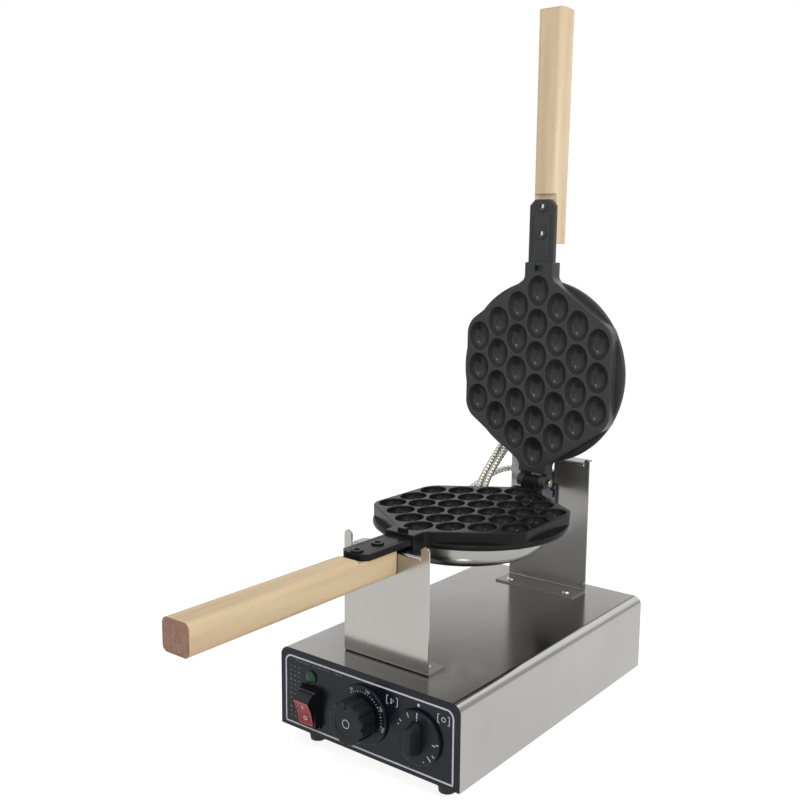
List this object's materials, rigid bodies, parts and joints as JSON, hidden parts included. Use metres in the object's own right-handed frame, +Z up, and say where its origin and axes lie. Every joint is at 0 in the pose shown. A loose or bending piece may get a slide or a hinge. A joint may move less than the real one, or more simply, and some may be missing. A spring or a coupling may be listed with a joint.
{
  "type": "bubble waffle maker",
  "caption": "Countertop electric bubble waffle iron with hinged cast plates that close and turn over on a pivot, wooden handles, and a steel base with switch, dials and lamp.",
  "frame": {"origin": "on the table plane that the feet stand on, under the middle of the base box", "axes": "+Z up; the control panel faces -Y; +X is to the right of someone who faces the controls"},
  "size_m": [0.24, 0.6472, 0.8181],
  "materials": {
    "stainless": "brushed along the sheet, warm grey",
    "inner_steel": "plain zinc-plated",
    "fascia": "glossy blue-black film with a pale border line",
    "bright_steel": "bright plated",
    "rubber": "matt black",
    "coated_casting": "satin black non-stick coating on cast aluminium",
    "element": "heat-tinted steel sheath",
    "beech": "oiled beech, grain along the stick",
    "bronze": "plain turned bronze",
    "conduit_steel": "ribbed flexible steel, satin",
    "black_plastic": "satin black moulding",
    "rocker_red": "glossy translucent red",
    "lamp_green": "glossy translucent green",
    "terminal_white": "matt white moulding"
  },
  "bodies": {
    "base": {"base_conduit_gland": "bright_steel", "base_shell": "stainless", "bottom_plate": "inner_steel", "bracket_nuts": "bright_steel", "bracket_screws": "bright_steel", "conduit_feed": "conduit_steel", "control_fascia": "fascia", "foot_screws": "bright_steel", "front_panel": "stainless", "front_rest_bracket": "stainless", "housing_screws": "bright_steel", "lamp_body": "black_plastic", "lamp_lens": "lamp_green", "lead_gland": "black_plastic", "lead_gland_nut": "black_plastic", "rear_panel": "stainless", "rear_pivot_bracket": "stainless", "rubber_feet": "rubber", "switch_housing": "black_plastic", "terminal_block": "terminal_white", "thermostat_body": "inner_steel", "timer_body": "inner_steel"},
    "pivot_guide": {"pivot_block": "inner_steel", "pivot_bush": "bronze", "hose_clip": "inner_steel", "hose_clip_screw": "bright_steel", "conduit_link": "conduit_steel"},
    "lower_pan": {"lower_mould": "coated_casting", "lower_dish_cover": "stainless", "lower_conduit_fittings": "bright_steel", "lower_dish_screws": "bright_steel", "lower_heater": "element", "lower_heater_clamp": "inner_steel", "lower_clamp_screw": "bright_steel", "lower_handle": "beech", "lower_handle_screws": "bright_steel", "pivot_shaft": "bright_steel", "pivot_washer": "bright_steel", "pivot_nut": "bright_steel", "conduit_left": "conduit_steel", "conduit_right": "conduit_steel"},
    "upper_pan": {"upper_mould": "coated_casting", "upper_dish_cover": "stainless", "upper_conduit_fittings": "bright_steel", "upper_dish_screws": "bright_steel", "upper_heater": "element", "upper_heater_clamp": "inner_steel", "upper_clamp_screw": "bright_steel", "upper_handle": "beech", "upper_handle_screws": "bright_steel", "hinge_pin": "bright_steel", "hinge_nut": "bright_steel"},
    "rocker": {"switch_rocker": "rocker_red"},
    "thermostat_control": {"thermostat_shaft": "bright_steel", "thermostat_dial": "black_plastic", "thermostat_knob": "black_plastic"},
    "timer_control": {"timer_shaft": "bright_steel", "timer_dial": "black_plastic", "timer_knob": "black_plastic"}
  },
  "joints": [
    {"name": "lift", "type": "slide", "parent": "base", "child": "pivot_guide", "axis": [0, 0, 1], "range_m": [0, 0.0135], "deforming": ["conduit_feed"]},
    {"name": "turn", "type": "hinge", "parent": "pivot_guide", "child": "lower_pan", "pos_m": [0, 0.16, 0.245], "axis": [0, 1, 0], "range_deg": [0, 90], "deforming": ["conduit_link"]},
    {"name": "close", "type": "hinge", "parent": "lower_pan", "child": "upper_pan", "pos_m": [0, 0.1287, 0.2513], "axis": [1, 0, 0], "range_deg": [0, 90.7], "deforming": ["conduit_left", "conduit_right"]},
    {"name": "power_rocker", "type": "hinge", "parent": "base", "child": "rocker", "pos_m": [-0.0745, -0.1985, 0.0507], "axis": [1, 0, 0], "range_deg": [-36, 0]},
    {"name": "thermostat_turn", "type": "hinge", "parent": "base", "child": "thermostat_control", "pos_m": [0, -0.2, 0.064], "axis": [0, 1, 0], "range_deg": [0, 300]},
    {"name": "timer_turn", "type": "hinge", "parent": "base", "child": "timer_control", "pos_m": [0.07, -0.2, 0.0615], "axis": [0, 1, 0], "range_deg": [0, 300]}
  ],
  "couplings": [
    {"joint": "lift", "follows": "turn", "m_per_rad": 0.0082}
  ]
}
